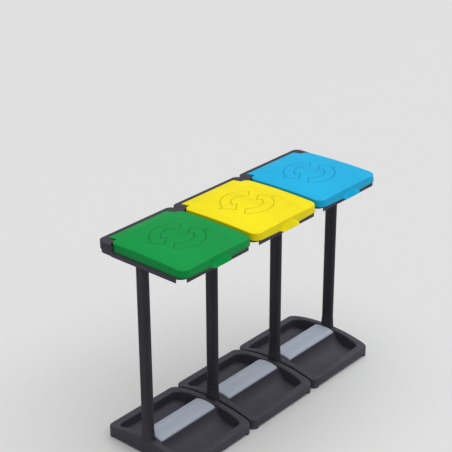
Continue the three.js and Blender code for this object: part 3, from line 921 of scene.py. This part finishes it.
class LidPlan:
    """The lid's outline in plan, with the height of its hem and of its wall's top edge. At the rear the
    wall fades out towards the hinge barrel, and hold says how much of its form it keeps."""

    def __init__(self, shares):
        self.plan = lid_outline(shares)
        behind = smooth((self.plan[:, 1] - (NOTCH_Y - 8)) / 8)
        self.hold = 1 - 0.75 * behind
        self.hem = LID_HEM + (HINGE_Z - BARREL - LID_HEM) * behind
        arch_height, self.reach = lip_shares(self.plan)
        self.arch = 1 - LIP_ARCH * arch_height
        self.edge_top = self.top_at(self.inner(LEAN + EDGE)) - EDGE * self.hold

    def inner(self, distance):
        return inset(self.plan, distance, self.hold)

    def top_at(self, plan):
        return crown_height(plan[:, 0], plan[:, 1])

    def edge(self, angle):
        """The rounded edge between the wall, at 0, and the crown, at a right angle."""
        plan = self.inner(LEAN + EDGE * (1 - math.cos(angle)))
        return lift(plan, self.edge_top + EDGE * self.hold * math.sin(angle))

    def wall(self, step, depth=0.0):
        """The wall at a step down from its top edge, depth inside the outer face. The steps part where the
        thumb lip's arched crease is, and below it the wall runs forward into the lip."""
        crease = np.clip(self.arch, 0.03, 0.94)
        above, below = min(step, WALL_STEPS) / WALL_STEPS, max(step - WALL_STEPS, 0) / WALL_STEPS
        share = crease * above + (1 - crease) * below
        below_arch = (share - self.arch) / np.maximum(1 - self.arch, 0.01)
        pull = self.reach * np.clip(below_arch, 0, 1)
        plan = self.inner(LEAN * (1 - share) + depth)
        plan[:, 1] -= pull * LIP_REACH
        return lift(plan, self.edge_top + (self.hem - self.edge_top) * share - pull * LIP_DROP)

    def ceiling(self):
        plan = self.inner(LEAN + LID_SKIN + 2)
        return lift(plan, self.top_at(plan) - LID_SKIN - 1.5 * self.hold)


def lid_mesh():
    """The lid's shell, with columns every 2 mm over the sunk arrows."""
    across = np.concatenate([np.linspace(2, 130, 65), [139, 149, 160, 171, 182]])
    shares = (1 + mirrored(across / across[-1])) / 2
    lid = LidPlan(shares)
    hem = 2 * WALL_STEPS
    rings = [lid.edge(angle) for angle in np.radians(np.linspace(90, 12, 6))]
    rings += [lid.wall(step) for step in (*range(hem), hem - 0.3)]
    rings += [lid.wall(hem, depth) for depth in (0.6, LID_SKIN - 0.5)]
    rings += [lid.wall(step, LID_SKIN) for step in (hem - 0.5, 13, 11, WALL_STEPS, 5, 2)]
    rings.append(lid.ceiling())
    return closed_sheet(
        rings, shares, len(lid_side()) - 1,
        lambda x, y: crown_height(x, y) - groove_depth(x, y),
        lambda x, y: crown_height(x, y) - LID_SKIN,
    )


def barrel_mesh():
    """The hinge barrel along the rear edge of a lid, with rounded ends."""
    rings = [(-TONGUE_X, BARREL - 1.3), (-TONGUE_X + 1, BARREL - 0.2), (-TONGUE_X + 2, BARREL)]
    rings += [(x, BARREL) for x in np.linspace(-120, 120, 9)]
    rings += [(-x, radius) for x, radius in rings[2::-1]]
    angles = np.radians(np.linspace(0, 360, 33))[:-1]
    points = [
        (x, HINGE_Y + radius * math.cos(a), HINGE_Z + radius * math.sin(a))
        for x, radius in rings
        for a in angles
    ]
    count = len(angles)
    faces = wall_faces(count, len(rings))
    faces.append(tuple(range(count)))
    faces.append(tuple(range(len(points) - 1, len(points) - count - 1, -1)))
    return np.array(points), [tuple(face[::-1]) for face in faces]


# ---------------------------------------------------------------- pieces

def build_stands():
    tray, bar, ring = tray_mesh(), bar_mesh(), ring_mesh()
    lid, barrel = lid_mesh(), barrel_mesh()
    frame_shape = frame_mesh()
    frame_shape.materials.clear()
    frame_shape.materials.append(FRAME)
    for name in STANDS:
        place = stand_place(name)
        made = add_object(f"tray_shell_{name}", *tray, place, "stand", TRAY, "tray_plastic")
        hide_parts(f"tray_{name}")
        made = add_object(f"crowned_bar_{name}", *bar, place, "stand", BAR, "bar_plastic")
        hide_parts(f"cross_bar_{name}")
        made = add_object(f"liner_ring_{name}", *ring, place, "stand", RING, "ring_plastic")
        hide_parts(f"bag_ring_{name}")
        made = add_mesh(f"ring_frame_{name}", frame_shape.copy(), place, "stand")
        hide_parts(f"frame_{name}")
        made = add_object(f"lid_shell_{name}", *lid, place, f"lid_{name}", LIDS[name], LID_SLOTS[name])
        paint_groove_shade(made.data, lid[0])
        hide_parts(f"lid_{name}")
        add_object(f"lid_barrel_{name}", *barrel, place, f"lid_{name}", LIDS[name], LID_SLOTS[name])


def build_posts():
    for name in POSTS:
        place = Vector((POST_X[name], POST_PLANE, 0))
        low, high = (corner.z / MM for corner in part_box(f"post_{name}"))
        made = add_object(f"post_tube_{name}", *post_mesh(low, high), place, "stand", POST, "post_plastic")
        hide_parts(f"post_{name}")
        low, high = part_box(f"socket_{name}")
        left, right = ((corner.x - POST_X[name]) / MM for corner in (low, high))
        shape = socket_mesh(left, right, high.z / MM)
        made = add_object(f"post_sleeve_{name}", *shape, place, "stand", SLEEVE, "post_plastic")
        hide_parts(f"socket_{name}")


SCREW_BEVEL = 0.2
HEAD_BEVEL = 0.6


def finish_cad_nodes():
    """Bevels and materials for the pins, screws and post heads, which stay as the frame has them."""
    for name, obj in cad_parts.items():
        if obj.hide_render:
            continue
        steel = name.startswith(("screw", "hinge_pin"))
        obj.data.materials.clear()
        obj.data.materials.append(STEEL if steel else POST)
        weld = obj.modifiers.new("weld", "WELD")
        weld.merge_threshold = 0.01 * MM
        flat = obj.modifiers.new("flat", "DECIMATE")
        flat.decimate_type = "DISSOLVE"
        flat.angle_limit = math.radians(1)
        soften = obj.modifiers.new("soften", "BEVEL")
        soften.width = (SCREW_BEVEL if steel else HEAD_BEVEL) * MM
        soften.segments = 2
        soften.limit_method = "ANGLE"
        soften.angle_limit = math.radians(35)


build_stands()
build_posts()
finish_cad_nodes()


# ---------------------------------------------------------------- floor, light and camera

FLOOR_REACH = 30


def plain(name, colour, roughness):
    material, _, shader = node_kit(name)
    shader.inputs["Base Color"].default_value = (*colour, 1)
    shader.inputs["Roughness"].default_value = roughness
    return material


def build_floor():
    mesh = bpy.data.meshes.new("floor")
    corners = rectangle(-FLOOR_REACH, FLOOR_REACH, -FLOOR_REACH, FLOOR_REACH)
    mesh.from_pydata(lift(corners, 0).tolist(), [], [(0, 1, 2, 3)])
    mesh.materials.append(plain("floor_white", (0.68, 0.68, 0.68), 0.7))
    floor = bpy.data.objects.new("floor", mesh)
    bpy.context.scene.collection.objects.link(floor)


def aimed(azimuth, elevation):
    """The direction from the object towards a camera or a lamp at those angles, in degrees."""
    a, e = math.radians(azimuth), math.radians(elevation)
    return Vector((math.sin(a) * math.cos(e), -math.cos(a) * math.cos(e), math.sin(e)))


def build_light():
    """A large soft lamp high up to the right and a little in front, and a dim white room."""
    world = bpy.data.worlds.new("studio")
    bpy.context.scene.world = world
    world.use_nodes = True
    sky = world.node_tree.nodes["Background"]
    sky.inputs["Color"].default_value = (1, 1, 1, 1)
    sky.inputs["Strength"].default_value = 0.3
    lamp = bpy.data.lights.new("key", "SUN")
    lamp.energy = 2.6
    lamp.angle = math.radians(80)
    key = bpy.data.objects.new("key", lamp)
    bpy.context.scene.collection.objects.link(key)
    key.rotation_euler = (-aimed(62, 76)).to_track_quat("-Z", "Y").to_euler()


CAMERA = {"azimuth": -48.94, "elevation": 25.17, "roll": -0.27, "distance": 5.013, "lens": 100.46}
# Where the camera looks, from the middle of the row on the floor, in the posts' plane.
AIM = Vector((0.0467, 0.1372, 0.6978))


def build_camera(target):
    data = bpy.data.cameras.new("camera")
    data.lens = CAMERA["lens"]
    data.sensor_width = 36
    camera = bpy.data.objects.new("camera", data)
    bpy.context.scene.collection.objects.link(camera)
    back = aimed(CAMERA["azimuth"], CAMERA["elevation"])
    camera.location = target + back * CAMERA["distance"]
    turn = (-back).to_track_quat("-Z", "Y").to_matrix().to_4x4()
    roll = Matrix.Rotation(math.radians(CAMERA["roll"]), 4, "Z")
    camera.rotation_euler = (turn @ roll).to_euler()
    bpy.context.scene.camera = camera


build_floor()
build_light()
build_camera(Vector((STAND_X["middle"], POST_PLANE, 0)) + AIM)
bpy.context.scene.view_settings.view_transform = "Standard"
